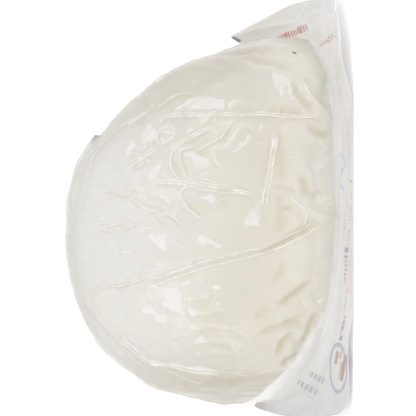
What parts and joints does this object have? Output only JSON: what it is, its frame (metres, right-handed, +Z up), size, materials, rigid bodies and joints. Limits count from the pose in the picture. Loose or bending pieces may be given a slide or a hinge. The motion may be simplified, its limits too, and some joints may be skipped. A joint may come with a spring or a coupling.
{
  "type": "vacuum-packed mozzarella ball",
  "caption": "Round fresh mozzarella ball in tight clear wrinkled film, sealed to a printed lid film whose flange lies flat in front and curls up at the sides.",
  "frame": {"origin": "middle of the whole pack's footprint, on the surface it lies on", "axes": "+Z up through the crown of the ball, +X to the pack's right with the taller curled flange, +Y to its back"},
  "size_m": [0.1188, 0.1284, 0.0703],
  "materials": {
    "lid_film": null,
    "wrapped_cheese": "cream cheese seen through clear glossy wrinkled film"
  },
  "bodies": {
    "root": {"lid_film": "lid_film", "wrapped_ball": "wrapped_cheese"}
  },
  "joints": []
}
